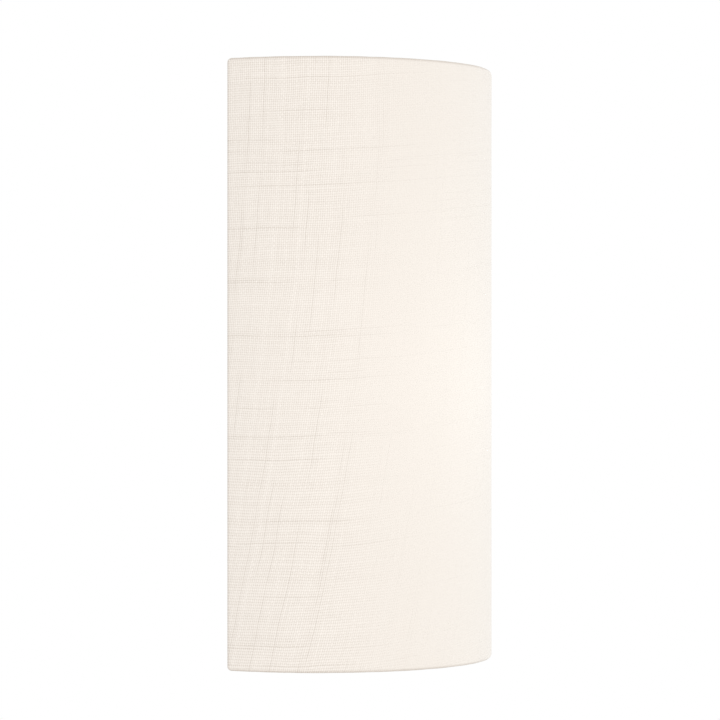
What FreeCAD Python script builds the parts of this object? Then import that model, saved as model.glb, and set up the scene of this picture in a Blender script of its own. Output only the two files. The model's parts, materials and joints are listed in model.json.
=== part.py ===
import FreeCAD, Part
import math
import os

from FreeCAD import Vector

os.makedirs("parts", exist_ok=True)

# A half-round wall light with a linen shade. Millimetres. +Z is up, the wall is the plane y = 0 and
# the light stands out of it towards -Y. The origin is the middle of the back plate's wall face.

X = Vector(1, 0, 0)
Y = Vector(0, 1, 0)
Z = Vector(0, 0, 1)

# --- driving dimensions: shade ----------------------------------------------------------------
shade_height = 300.0
shade_radius = 88.0
fabric_thick = 0.5
liner_thick = 0.5
frame_wire_r = 1.5
shade_wall_gap = 1.0
hem_depth = 8.0

strap_height = 15.0
strap_thick = 1.5
strap_joggle_start = 70.0
strap_joggle_end = 79.0
strap_hole_r = 2.25
strap_end_gap = 0.2
pillar_spacing = 224.0
liner_gap = 0.1

# --- driving dimensions: wall frame -----------------------------------------------------------
plate_width = 130.0
plate_height = 250.0
plate_depth = 8.0
plate_sheet = 1.2
plate_bend_r = 2.0
slot_spacing_x = 100.0
slot_spacing_z = 180.0
slot_length = 12.0
slot_width = 5.0

pillar_across_flats = 10.0
pillar_front_y = -13.0
pillar_bore_r = 2.04
pillar_bore_depth = 10.0
pillar_counterbore_r = 3.3
pillar_counterbore_depth = 1.2

lamp_axis_y = -45.0
bracket_sheet = 1.5
bracket_half_width = 17.0
bracket_shelf_top_z = -93.5
bracket_foot_top_z = -68.0
bracket_bend_r = 2.5

# --- driving dimensions: lampholder and lamp --------------------------------------------------
holder_base_r = 20.5
holder_wall = 3.0
holder_joint_z = -78.0
holder_core_r = 19.0
holder_core_top_z = -71.0
holder_neck_r = 17.5
holder_mouth_r = 14.6
holder_rim_z = -38.0
holder_screw_x = 10.0
sleeve_inner_r = 13.4
sleeve_thick = 0.4
sleeve_top_z = -41.0

globe_r = 30.0
globe_top_z = 45.0
globe_wall = 1.2
globe_joint_z = -14.0
globe_tangent_deg = 20.0
cap_thread_r = 12.9
cap_sheet = 0.4
cap_top_z = -36.0
cap_bottom_z = -57.0
lamp_tip_z = -62.0

# --- driving dimensions: wiring ---------------------------------------------------------------
wire_r = 1.3
wire_clearance = 0.1
block_x = -38.0
block_z = -62.0
block_pitch = 10.0
block_width = 20.0
block_deck_y = -13.0
block_tower_y = -17.0
tube_axis_y = -9.5
grommet_z = -22.0
grommet_bore_r = 4.0
earth_z = -100.0

# --- sizes that follow ------------------------------------------------------------------------
hem_r = frame_wire_r + fabric_thick
frame_r = shade_radius - hem_r
shade_axis_y = -(shade_wall_gap + hem_r)
ring_z = shade_height / 2 - hem_r
liner_outer_r = shade_radius - fabric_thick
liner_half_height = ring_z - frame_wire_r - liner_gap
plate_front_y = -plate_sheet
pillar_z = pillar_spacing / 2
lamp_axis = Vector(0, lamp_axis_y, 0)

# How far a cutting tool runs past the face that it opens.
cut_spare = 1.0


# --- shape helpers ----------------------------------------------------------------------------
def block(x0, x1, y0, y1, z0, z1):
    return Part.makeBox(x1 - x0, y1 - y0, z1 - z0, Vector(x0, y0, z0))


def rod(start, axis, radius, length):
    return Part.makeCylinder(radius, length, start, axis)


def pipe(start, axis, outer_r, inner_r, length):
    return rod(start, axis, outer_r, length).cut(rod(start, axis, inner_r, length))


def fused(shapes):
    whole = shapes[0]
    for shape in shapes[1:]:
        whole = whole.fuse(shape)
    return whole.removeSplitter()


def without(shape, tools):
    for tool in tools:
        shape = shape.cut(tool)
    return shape


def mirrored_z(shape):
    return shape.mirror(Vector(0, 0, 0), Z)


def turned_profile(points, centre, start_deg=0.0, sweep_deg=360.0):
    """Solid of revolution about the vertical through centre, from (radius, z) points."""
    corners = [Vector(centre.x + r, centre.y, z) for r, z in points]
    face = Part.Face(Part.makePolygon(corners + [corners[0]]))
    face.rotate(centre, Z, start_deg)
    return face.revolve(centre, Z, sweep_deg)


def lamp_ring(points):
    return turned_profile(points, lamp_axis)


def slotted_hole(x, z, length, width, depth):
    """A level slot through sheet at the wall face, rounded at both ends."""
    half = (length - width) / 2
    middle = block(x - half, x + half, -depth, cut_spare, z - width / 2, z + width / 2)
    ends = [rod(Vector(x + side * half, -depth, z), Y, width / 2, depth + cut_spare)
            for side in (-1, 1)]
    return fused([middle] + ends)


def bent_strip(points, thick, width, origin, along, up, across):
    """Flat strip that follows points (along, up), rounded at its bends, width wide."""
    pieces = []
    for first, second in zip(points[:-1], points[1:]):
        start = origin + along * first[0] + up * first[1]
        end = origin + along * second[0] + up * second[1]
        run = end - start
        side = run.cross(across).normalize() * (thick / 2)
        corners = [start + side, end + side, end - side, start - side]
        face = Part.Face(Part.makePolygon(corners + [corners[0]]))
        pieces.append(face.extrude(across * width))
    for point in points[1:-1]:
        place = origin + along * point[0] + up * point[1]
        pieces.append(rod(place, across, thick / 2, width))
    return fused(pieces)


def cable(points, radius):
    """Round wire on straight runs joined by tangent arcs; each arc is as large as its runs allow."""
    edges = []
    start = points[0]
    for before, corner, after in zip(points[:-2], points[1:-1], points[2:]):
        run_in = corner - before
        run_out = after - corner
        turn = run_in.getAngle(run_out)
        trim = 0.45 * min(run_in.Length, run_out.Length)
        heading_in = Vector(run_in).normalize()
        heading_out = Vector(run_out).normalize()
        bend_r = trim / math.tan(turn / 2)
        inward = (heading_out - heading_in).normalize()
        middle = corner + inward * (bend_r / math.cos(turn / 2) - bend_r)
        arc_start = corner - heading_in * trim
        arc_end = corner + heading_out * trim
        edges.append(Part.LineSegment(start, arc_start).toShape())
        edges.append(Part.Arc(arc_start, middle, arc_end).toShape())
        start = arc_end
        print("  wire bend radius %.1f mm" % bend_r)
    edges.append(Part.LineSegment(start, points[-1]).toShape())
    path = Part.Wire(edges)
    section = Part.Wire(Part.makeCircle(radius, points[0], points[1] - points[0]))
    solid = path.makePipeShell([section], True, False)
    expected = math.pi * radius ** 2 * path.Length
    print("  wire length %.1f mm, volume ratio %.4f" % (path.Length, solid.Volume / expected))
    return solid


# Proportions of a screw's domed head and its cross recess.
dome_share = 0.55
recess_depth_share = 0.6
recess_length_share = 1.1
recess_width_share = 0.22


def pan_screw(head_seat, axis, shank_r, shank_length, head_r, head_height):
    """Screw with a domed head and a cross recess. axis points from the head into the thread."""
    head = rod(head_seat - axis * head_height, axis, head_r, head_height)
    rim = [edge for edge in head.Edges
           if edge.Curve.TypeId == "Part::GeomCircle"
           and abs((edge.Curve.Center - head_seat).dot(axis) + head_height) < 1e-6]
    head = head.makeFillet(head_height * dome_share, rim)
    shank = rod(head_seat, axis, shank_r, shank_length)
    side = axis.cross(Vector(axis.y, axis.z, axis.x)).normalize()
    length = head_r * recess_length_share
    width = head_r * recess_width_share
    arms = []
    for arm in (side, axis.cross(side)):
        other = axis.cross(arm)
        corner = head_seat - axis * head_height - arm * (length / 2) - other * (width / 2)
        square = Part.Face(Part.makePolygon([
            corner, corner + arm * length, corner + arm * length + other * width,
            corner + other * width, corner]))
        arms.append(square.extrude(axis * (head_height * recess_depth_share)))
    return without(head.fuse(shank), arms)


# --- shade ------------------------------------------------------------------------------------
def d_ring():
    """Half circle of wire closed by a straight bar along the wall."""
    centre = Vector(0, shade_axis_y, ring_z)
    left = centre - X * frame_r
    right = centre + X * frame_r
    section = Part.Face(Part.Wire(Part.makeCircle(frame_wire_r, left, Y)))
    bow = section.revolve(centre, Z, 180.0)
    bar = rod(left, X, frame_wire_r, 2 * frame_r)
    ends = [Part.makeSphere(frame_wire_r, end) for end in (left, right)]
    return fused([bow, bar] + ends)


def upright(side, rings):
    foot = Vector(side * frame_r, shade_axis_y, -ring_z)
    return without(rod(foot, Z, frame_wire_r, 2 * ring_z), rings)


def liner():
    """Stiff half-round sheet, its straight edges just in front of the uprights."""
    inner_r = liner_outer_r - liner_thick
    edge_deg = math.degrees(math.asin((frame_wire_r + liner_gap) / inner_r))
    profile = [(inner_r, -liner_half_height), (liner_outer_r, -liner_half_height),
               (liner_outer_r, liner_half_height), (inner_r, liner_half_height)]
    centre = Vector(0, shade_axis_y, 0)
    return turned_profile(profile, centre, 180.0 + edge_deg, 180.0 - 2 * edge_deg)


def hem_section(centre, outward, over):
    """Face of cloth that comes up the outside, over a frame wire and down the inside."""
    top_outer = centre + over * hem_r
    top_inner = centre + over * frame_wire_r
    inside_outer = centre - outward * hem_r
    inside_inner = centre - outward * frame_wire_r
    flap = over * -hem_depth
    outer = Part.Arc(centre + outward * hem_r, top_outer, inside_outer).toShape()
    inner = Part.Arc(inside_inner, top_inner, centre + outward * frame_wire_r).toShape()
    return Part.Face(Part.Wire([
        outer,
        Part.LineSegment(inside_outer, inside_outer + flap).toShape(),
        Part.LineSegment(inside_outer + flap, inside_inner + flap).toShape(),
        Part.LineSegment(inside_inner + flap, inside_inner).toShape(),
        inner,
        Part.LineSegment(centre + outward * frame_wire_r, centre + outward * hem_r).toShape()]))


def fabric(passing_through):
    """Linen cover: the half-round face, a rolled hem on all four sides and rounded corners."""
    axis_point = Vector(0, shade_axis_y, 0)
    face = turned_profile(
        [(liner_outer_r, -ring_z), (shade_radius, -ring_z),
         (shade_radius, ring_z), (liner_outer_r, ring_z)], axis_point, 180.0, 180.0)
    left_end = Vector(-frame_r, shade_axis_y, ring_z)
    top_hem = hem_section(left_end, -X, Z).revolve(axis_point, Z, 180.0)
    pieces = [face, top_hem, mirrored_z(top_hem)]
    for side in (-1, 1):
        foot = Vector(side * frame_r, shade_axis_y, -ring_z)
        pieces.append(hem_section(foot, X * side, Y).extrude(Z * (2 * ring_z)))
        corner = foot + Z * (2 * ring_z)
        shell = Part.makeSphere(hem_r, corner).cut(Part.makeSphere(frame_wire_r, corner))
        reach = 2 * hem_r
        quarter = block(corner.x - reach, corner.x + reach, corner.y, corner.y + reach,
                        corner.z, corner.z + reach)
        cap = shell.common(quarter)
        pieces += [cap, mirrored_z(cap)]
    return without(fused(pieces), passing_through)


def strap():
    """Flat bar across the shade, set forward between the uprights to meet the pillar."""
    front = pillar_front_y - strap_thick / 2
    back = shade_axis_y - frame_wire_r - strap_thick / 2
    tip = frame_r - strap_end_gap
    line = [(-tip, back), (-strap_joggle_end, back), (-strap_joggle_start, front),
            (strap_joggle_start, front), (strap_joggle_end, back), (tip, back)]
    bar = bent_strip(line, strap_thick, strap_height,
                     Vector(0, 0, pillar_z - strap_height / 2), X, Y, Z)
    hole = rod(Vector(0, pillar_front_y - strap_thick - cut_spare, pillar_z), Y, strap_hole_r,
               strap_thick + 2 * cut_spare)
    return bar.cut(hole)


washer_thick = 0.8
washer_r = 5.5
screw_shank_r = 2.0
screw_shank_end_y = -6.0
screw_seat_y = pillar_front_y - strap_thick - washer_thick
screw_collar_r = 5.0
screw_collar_thick = 1.4
screw_head_r = 7.5
screw_head_length = 7.5
screw_head_chamfer = 0.6
screw_dish_rim = 2.2
screw_dish_depth = 0.8
knurl_count = 30
knurl_r = 0.45
ring_sink = 0.2
ring_thick = 0.8
ring_clearance = 0.3


def strap_washer():
    seat = Vector(0, screw_seat_y, pillar_z)
    return pipe(seat, Y, washer_r, strap_hole_r, washer_thick)


def thumb_screw():
    """Knurled head, collar and plain shank on the pillar's axis."""
    seat = Vector(0, screw_seat_y, pillar_z)
    shank = rod(seat, Y, screw_shank_r, screw_shank_end_y - screw_seat_y)
    collar = rod(seat - Y * screw_collar_thick, Y, screw_collar_r, screw_collar_thick)
    head_start = seat - Y * (screw_collar_thick + screw_head_length)
    head = rod(head_start, Y, screw_head_r, screw_head_length)
    rims = [edge for edge in head.Edges if edge.Curve.TypeId == "Part::GeomCircle"]
    head = head.makeChamfer(screw_head_chamfer, rims)
    flutes = []
    for index in range(knurl_count):
        angle = 2 * math.pi * index / knurl_count
        place = head_start + Vector(math.cos(angle), 0, math.sin(angle)) * screw_head_r
        flutes.append(rod(place, Y, knurl_r, screw_head_length))
    dish = rod(head_start, Y, screw_head_r - screw_dish_rim, screw_dish_depth)
    head = head.cut(Part.makeCompound(flutes)).cut(dish)
    return fused([head, collar, shank])


def retaining_ring():
    """Ring on the shank that keeps the thumb screw in the strap when the shade is off."""
    start = Vector(0, pillar_front_y + ring_sink, pillar_z)
    return pipe(start, Y, pillar_counterbore_r - ring_clearance, screw_shank_r, ring_thick)


# --- wall frame -------------------------------------------------------------------------------
emboss_depth = 2.5
emboss_r = 14.0
emboss_flank = 2.0
emboss_stretch = 0.6
grommet_hole_r = 6.5
grommet_flange_r = 9.0
grommet_flange = 1.5
grommet_round = 0.5
m4_r = 2.0
m4_clear_r = 2.15
m4_head_r = 4.0
m4_head_height = 2.6
m3_r = 1.5
m3_clear_r = 1.6
m3_head_r = 2.9
m3_head_height = 2.0
screw_end_gap = 0.2
bracket_screw_x = 9.0
bracket_screw_z = -78.0
bracket_corner_r = 4.0
block_screw_z = (block_z - block_pitch / 2, block_z + block_pitch / 2)


def tray_block(inset, front_y, rear_y, corner_r, bend_r):
    """Block with rounded corners whose edge towards the wall is rounded like folded sheet."""
    half_w = plate_width / 2 - inset
    half_h = plate_height / 2 - inset
    solid = block(-half_w, half_w, front_y, rear_y, -half_h, half_h)
    solid = solid.makeFillet(corner_r, [edge for edge in solid.Edges if edge.BoundBox.YLength > 1])
    rear_edges = [edge for edge in solid.Edges
                  if abs(edge.BoundBox.YMin - rear_y) < 1e-6
                  and abs(edge.BoundBox.YMax - rear_y) < 1e-6]
    return solid.makeFillet(bend_r, rear_edges)


def plate_hole(x, z, radius):
    return rod(Vector(x, -plate_sheet - cut_spare, z), Y, radius, plate_sheet + 2 * cut_spare)


def back_plate():
    """Shallow folded tray with its flat face on the wall and a pressed-out cable entry."""
    corner_r = plate_bend_r * 2
    outer = tray_block(0, -plate_depth, 0, corner_r, plate_bend_r)
    inner = tray_block(plate_sheet, -plate_depth - cut_spare, -plate_sheet,
                       corner_r - plate_sheet, plate_bend_r - plate_sheet)
    entry = Vector(block_x, 0, grommet_z)
    hollow_r = emboss_r - emboss_stretch
    raised = Part.makeCone(emboss_r, emboss_r - emboss_flank, emboss_depth,
                           entry - Y * plate_sheet, -Y)
    hollow = Part.makeCone(hollow_r, hollow_r - emboss_flank, emboss_depth, entry, -Y)
    tray = outer.cut(inner).fuse(raised).cut(hollow)
    tray = tray.cut(rod(entry - Y * plate_depth, Y, grommet_hole_r, plate_depth))
    holes = [slotted_hole(sx * slot_spacing_x / 2, sz * slot_spacing_z / 2, slot_length, slot_width,
                          plate_sheet + cut_spare) for sx in (-1, 1) for sz in (-1, 1)]
    holes += [plate_hole(side * bracket_screw_x, bracket_screw_z, m4_r) for side in (-1, 1)]
    holes += [plate_hole(block_x, z, m3_r) for z in block_screw_z]
    holes.append(plate_hole(block_x, earth_z, m4_r))
    return without(tray, holes)


def pillar():
    """Hexagon pillar welded to the plate, bored for the thumb screw."""
    corner_r = pillar_across_flats / math.sqrt(3)
    corners = []
    for index in range(7):
        angle = math.radians(60 * index)
        corners.append(Vector(corner_r * math.cos(angle), plate_front_y,
                              pillar_z + corner_r * math.sin(angle)))
    length = plate_front_y - pillar_front_y
    body = Part.Face(Part.makePolygon(corners)).extrude(-Y * length)
    mouth = Vector(0, pillar_front_y, pillar_z)
    bore = rod(mouth, Y, pillar_bore_r, pillar_bore_depth)
    counterbore = rod(mouth, Y, pillar_counterbore_r, pillar_counterbore_depth)
    return without(body, [bore, counterbore])


def lamp_bracket():
    """Angle of sheet: a foot on the plate and a round-ended shelf under the lampholder."""
    half = bracket_half_width
    shelf_z = bracket_shelf_top_z - bracket_sheet
    rear = plate_front_y
    shelf = fused([block(-half, half, lamp_axis_y, rear, shelf_z, bracket_shelf_top_z),
                   rod(Vector(0, lamp_axis_y, shelf_z), Z, half, bracket_sheet)])
    foot = block(-half, half, rear - bracket_sheet, rear, shelf_z, bracket_foot_top_z)
    foot_corners = [edge for edge in foot.Edges
                    if edge.BoundBox.YLength > 1 and edge.BoundBox.ZMin > bracket_foot_top_z - 1]
    foot = foot.makeFillet(bracket_corner_r, foot_corners)
    angle = fused([shelf, foot])
    heel = [edge for edge in angle.Edges
            if edge.BoundBox.XLength > 2 * half - 1
            and abs(edge.BoundBox.YMax - rear) < 1e-6 and abs(edge.BoundBox.ZMax - shelf_z) < 1e-6]
    angle = angle.makeFillet(bracket_bend_r, heel)
    crotch = [edge for edge in angle.Edges
              if edge.BoundBox.XLength > 2 * half - 1
              and abs(edge.BoundBox.YMin - rear + bracket_sheet) < 1e-6
              and abs(edge.BoundBox.ZMin - bracket_shelf_top_z) < 1e-6]
    angle = angle.makeFillet(bracket_bend_r - bracket_sheet, crotch)
    through = bracket_sheet + 2 * cut_spare
    holes = [rod(Vector(side * bracket_screw_x, rear - bracket_sheet - cut_spare,
                        bracket_screw_z), Y, m4_clear_r, through) for side in (-1, 1)]
    holes += [rod(Vector(side * holder_screw_x, lamp_axis_y, shelf_z - cut_spare), Z,
                  m4_clear_r, through) for side in (-1, 1)]
    return without(angle, holes)


def bracket_screws():
    seat_y = plate_front_y - bracket_sheet
    screws = [pan_screw(Vector(side * bracket_screw_x, seat_y, bracket_screw_z), Y,
                        m4_r, -seat_y - screw_end_gap, m4_head_r, m4_head_height)
              for side in (-1, 1)]
    return Part.makeCompound(screws)


def holder_screws():
    seat_z = bracket_shelf_top_z - bracket_sheet
    screws = [pan_screw(Vector(side * holder_screw_x, lamp_axis_y, seat_z), Z,
                        m4_r, holder_screw_length, holder_screw_head_r, holder_screw_head_height)
              for side in (-1, 1)]
    return Part.makeCompound(screws)


# --- lampholder -------------------------------------------------------------------------------
terminal_x = 7.0
terminal_z = -87.0
terminal_half_width = 2.5
terminal_top_z = -83.0
terminal_near_y = -33.0
terminal_far_y = -40.0
terminal_screw_y = -35.0
terminal_bore_depth = 5.5
terminal_screw_length = 4.0
leg_y = -37.3
leg_end_z = -84.0
leg_half_width = 1.0
leg_slot_gap = 0.05
contact_sheet = 0.6
base_floor_z = bracket_shelf_top_z + 2.5
base_edge = 1.0
boss_r = 3.5
boss_height = 7.0
boss_root = 0.5
holder_screw_length = 9.5
holder_screw_head_r = 3.8
holder_screw_head_height = 2.4
holder_wire_hole_r = 2.0
screw_access_r = 1.7
core_gap = 0.1
shoulder_rise = 3.0
shoulder_slope = 4.0
rim_round = 0.8
sleeve_pocket = 1.4


def lampholder_base():
    """Cup that stands on the bracket and holds the two terminals."""
    bottom = bracket_shelf_top_z
    inner_r = holder_base_r - holder_wall
    cup = lamp_ring([(0, bottom), (holder_base_r - base_edge, bottom),
                     (holder_base_r, bottom + base_edge),
                     (holder_base_r, holder_joint_z), (inner_r, holder_joint_z),
                     (inner_r, base_floor_z), (0, base_floor_z)])
    boss_top = base_floor_z + boss_height
    bosses = [rod(Vector(side * holder_screw_x, lamp_axis_y, base_floor_z - boss_root), Z,
                  boss_r, boss_height + boss_root) for side in (-1, 1)]
    cup = fused([cup] + bosses)
    holes = [rod(Vector(side * holder_screw_x, lamp_axis_y, bottom - cut_spare), Z, m4_r,
                 boss_top + cut_spare - bottom + cut_spare) for side in (-1, 1)]
    holes += [rod(Vector(side * terminal_x, terminal_near_y, terminal_z), Y,
                  holder_wire_hole_r, holder_base_r) for side in (-1, 1)]
    return without(cup, holes)


def leg_slots(grow):
    slots = []
    for side in (-1, 1):
        reach = leg_half_width + grow
        slots.append(block(side * terminal_x - reach, side * terminal_x + reach,
                           leg_y - contact_sheet / 2 - grow, leg_y + contact_sheet / 2 + grow,
                           leg_end_z, holder_core_top_z + cut_spare))
    return slots


def lampholder_core():
    """Insulating disc that carries both contacts and the screw sleeve."""
    disc = lamp_ring([(0, holder_joint_z), (holder_core_r, holder_joint_z),
                      (holder_core_r, holder_core_top_z), (0, holder_core_top_z)])
    through = holder_core_top_z - holder_joint_z + 2 * cut_spare
    access = [rod(Vector(side * terminal_x, terminal_screw_y, holder_joint_z - cut_spare), Z,
                  screw_access_r, through) for side in (-1, 1)]
    return without(disc, leg_slots(leg_slot_gap) + access)


def lampholder_shell():
    """Outer skirt: clamps the core on the base and rises round the lamp cap."""
    pocket_r = holder_core_r + core_gap
    shoulder_z = holder_core_top_z + shoulder_rise
    foot_r = holder_mouth_r + sleeve_pocket
    return lamp_ring([
        (pocket_r, holder_joint_z), (holder_base_r, holder_joint_z),
        (holder_base_r, shoulder_z), (holder_neck_r, shoulder_z + shoulder_slope),
        (holder_neck_r, holder_rim_z - rim_round), (holder_neck_r - rim_round, holder_rim_z),
        (holder_mouth_r, holder_rim_z), (holder_mouth_r, shoulder_z + shoulder_slope / 2),
        (foot_r, shoulder_z), (foot_r, holder_core_top_z),
        (pocket_r, holder_core_top_z)])


def screw_sleeve():
    foot = Vector(0, lamp_axis_y, holder_core_top_z)
    return pipe(foot, Z, sleeve_inner_r + sleeve_thick, sleeve_inner_r,
                sleeve_top_z - holder_core_top_z)


foot_half_width = 2.0
foot_end_y = leg_y + 0.8
tongue_width = 5.0
tongue_gap = 0.3
tongue_bend = 0.5
tongue_flat = 2.0
tongue_end_x = -5.0
tongue_end_drop = 1.4
side_tab_x = -13.2
side_tab_height = 8.0


def contact_leg(side):
    return block(side * terminal_x - leg_half_width, side * terminal_x + leg_half_width,
                 leg_y - contact_sheet / 2, leg_y + contact_sheet / 2,
                 leg_end_z, holder_core_top_z + contact_sheet)


def contact_foot(side, near_y):
    """Flat of the contact on the insulating disc, from near_y to behind the leg."""
    return block(side * terminal_x - foot_half_width, side * terminal_x + foot_half_width,
                 near_y, foot_end_y, holder_core_top_z, holder_core_top_z + contact_sheet)


def centre_contact():
    """Springy tongue under the lamp's tip."""
    rear_y = lamp_axis_y + tongue_width / 2
    low = holder_core_top_z + contact_sheet / 2
    high = lamp_tip_z - tongue_gap - contact_sheet / 2
    tongue = bent_strip([(terminal_x + foot_half_width, low), (terminal_x - tongue_bend, low),
                         (tongue_flat, high), (-tongue_flat, high),
                         (tongue_end_x, high - tongue_end_drop)],
                        contact_sheet, tongue_width, Vector(0, rear_y, 0), X, Z, -Y)
    return fused([contact_foot(1, lamp_axis_y - tongue_width / 2), contact_leg(1), tongue])


def side_contact():
    """Tab that bears on the inside of the screw sleeve."""
    near_y = lamp_axis_y - foot_half_width
    far_y = lamp_axis_y + foot_half_width
    floor_z = holder_core_top_z
    arm = block(side_tab_x, -terminal_x, near_y, far_y, floor_z, floor_z + contact_sheet)
    tab = block(side_tab_x, side_tab_x + contact_sheet, near_y, far_y,
                floor_z, floor_z + side_tab_height)
    return fused([contact_foot(-1, near_y), arm, tab, contact_leg(-1)])


def holder_terminals():
    terminals = []
    for side in (-1, 1):
        x = side * terminal_x
        body = block(x - terminal_half_width, x + terminal_half_width,
                     terminal_far_y, terminal_near_y, base_floor_z, terminal_top_z)
        bore = rod(Vector(x, terminal_near_y - terminal_bore_depth, terminal_z), Y,
                   wire_r + wire_clearance, terminal_bore_depth + cut_spare)
        thread = rod(Vector(x, terminal_screw_y, terminal_z), Z, m3_r,
                     terminal_top_z - terminal_z + cut_spare)
        terminals.append(without(body, [bore, thread] + leg_slots(0.0)))
    return Part.makeCompound(terminals)


driver_slot_width = 0.6
driver_slot_depth = 0.9


def grub_screw(tip, axis, radius, length):
    """Headless screw with a plain driver slot at the end away from its tip."""
    body = rod(tip, axis, radius, length)
    across = Vector(axis.z, axis.x, axis.y)
    other = axis.cross(across)
    wide = across * driver_slot_width
    long = other * (2 * radius + cut_spare)
    corner = tip + axis * length - wide / 2 - long / 2
    face = Part.Face(Part.makePolygon([
        corner, corner + wide, corner + wide + long, corner + long, corner]))
    return body.cut(face.extrude(-axis * driver_slot_depth))


def holder_terminal_screws():
    tip_z = terminal_z + wire_r
    return Part.makeCompound([
        grub_screw(Vector(side * terminal_x, terminal_screw_y, tip_z), Z, m3_r,
                   terminal_screw_length) for side in (-1, 1)])


# --- lamp -------------------------------------------------------------------------------------
globe_centre_z = globe_top_z - globe_r
globe_side_turn = 0.6
housing_wall = 1.6
housing_waist_r = 15.6
housing_waist_z = -29.0
housing_lip = 0.9
cap_shoulder_r = 11.0
cap_shoulder_drop = 1.5
cap_corner = 0.3
insulator_waist_r = 9.0
insulator_waist_drop = 0.5
tip_r = 5.0
tip_height = 1.4
tip_edge_rise = 1.0
tip_seat_margin = 0.2
led_board_r = 17.0
led_board_thick = 1.6
led_count = 8
led_circle_r = 11.5
led_size = 3.0
led_thick = 0.8
driver_half_width = 9.0
driver_foot_z = -54.0
driver_thick = 1.6
capacitor_r = 4.2
capacitor_height = 14.0
capacitor_foot = Vector(-2.0, 0, -46.0)
choke_r = 4.0
choke_height = 9.0
choke_foot = Vector(2.0, 0, -40.0)
chip_thick = 1.6
chip_low = Vector(-4.0, 0, -28.0)
chip_high = Vector(2.0, 0, -22.0)


def globe_edge(radius, joint_z):
    """Points of the pear outline on a globe of this radius: crown, side, tangent point, neck."""
    angle = math.radians(globe_tangent_deg)
    crown = Vector(0, lamp_axis_y, globe_centre_z + radius)
    side = Vector(radius * math.cos(globe_side_turn), lamp_axis_y,
                  globe_centre_z + radius * math.sin(globe_side_turn))
    tangent = Vector(radius * math.cos(angle), lamp_axis_y,
                     globe_centre_z - radius * math.sin(angle))
    fall = (tangent.z - joint_z) / math.cos(angle)
    neck = tangent - Vector(math.sin(angle) * fall, 0, math.cos(angle) * fall)
    return crown, side, tangent, neck


def bulb_globe():
    """Opal pear-shaped dome, one wall thick."""
    crown, side, tangent, neck = globe_edge(globe_r, globe_joint_z)
    crown_in, side_in, tangent_in, neck_in = globe_edge(globe_r - globe_wall, globe_joint_z)
    outline = Part.Wire([
        Part.Arc(crown, side, tangent).toShape(),
        Part.LineSegment(tangent, neck).toShape(),
        Part.LineSegment(neck, neck_in).toShape(),
        Part.LineSegment(neck_in, tangent_in).toShape(),
        Part.Arc(tangent_in, side_in, crown_in).toShape(),
        Part.LineSegment(crown_in, crown).toShape()])
    return Part.Face(outline).revolve(lamp_axis, Z, 360.0)


def bulb_housing():
    """White flared collar between the cap and the globe."""
    neck_r = globe_edge(globe_r, globe_joint_z)[3].x
    top = Vector(neck_r, lamp_axis_y, globe_joint_z)
    waist = Vector(housing_waist_r, lamp_axis_y, housing_waist_z)
    foot = Vector(cap_thread_r + housing_lip, lamp_axis_y, cap_top_z)
    inset = X * housing_wall
    outline = Part.Wire([
        Part.Arc(foot, waist, top).toShape(),
        Part.LineSegment(top, top - inset).toShape(),
        Part.Arc(top - inset, waist - inset, foot - inset).toShape(),
        Part.LineSegment(foot - inset, foot).toShape()])
    return Part.Face(outline).revolve(lamp_axis, Z, 360.0)


def bulb_cap():
    """Screw cap of thin sheet, closed towards the tip by its insulator."""
    inner_r = cap_thread_r - cap_sheet
    shoulder_z = cap_bottom_z - cap_shoulder_drop
    return lamp_ring([
        (inner_r, cap_top_z), (cap_thread_r, cap_top_z), (cap_thread_r, cap_bottom_z),
        (cap_shoulder_r, shoulder_z), (cap_shoulder_r - cap_sheet, shoulder_z + cap_corner),
        (inner_r, cap_bottom_z + cap_corner)])


def cap_insulator():
    """Black glass disc between the cap's shoulder and the tip."""
    rim_z = cap_bottom_z - cap_shoulder_drop
    tip_seat_z = lamp_tip_z + tip_height
    return lamp_ring([(0, cap_bottom_z), (cap_shoulder_r - cap_sheet, rim_z + cap_corner),
                      (cap_shoulder_r, rim_z), (insulator_waist_r, rim_z - insulator_waist_drop),
                      (tip_r + tip_seat_margin, tip_seat_z), (0, tip_seat_z)])


def cap_contact():
    """Domed tip; its arc passes a quarter of the edge's rise at half the radius."""
    low = Vector(0, lamp_axis_y, lamp_tip_z)
    waist = Vector(tip_r / 2, lamp_axis_y, lamp_tip_z + tip_edge_rise / 4)
    rim = Vector(tip_r, lamp_axis_y, lamp_tip_z + tip_edge_rise)
    edge = Vector(tip_r, lamp_axis_y, lamp_tip_z + tip_height)
    middle = Vector(0, lamp_axis_y, lamp_tip_z + tip_height)
    outline = Part.Wire([
        Part.Arc(low, waist, rim).toShape(),
        Part.LineSegment(rim, edge).toShape(),
        Part.LineSegment(edge, middle).toShape(),
        Part.LineSegment(middle, low).toShape()])
    return Part.Face(outline).revolve(lamp_axis, Z, 360.0)


def led_board():
    return rod(Vector(0, lamp_axis_y, globe_joint_z), Z, led_board_r, led_board_thick)


def led_chips():
    """Ring of light-emitting chips, square to the lamp's axis."""
    half = led_size / 2
    low_z = globe_joint_z + led_board_thick
    chips = []
    for index in range(led_count):
        chip = block(-half, half, led_circle_r - half, led_circle_r + half,
                     low_z, low_z + led_thick)
        chip.rotate(Vector(0, 0, 0), Z, 360.0 * index / led_count)
        chip.translate(lamp_axis)
        chips.append(chip)
    return Part.makeCompound(chips)


def driver_board():
    return block(-driver_half_width, driver_half_width, lamp_axis_y - driver_thick / 2,
                 lamp_axis_y + driver_thick / 2, driver_foot_z, globe_joint_z)


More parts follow.
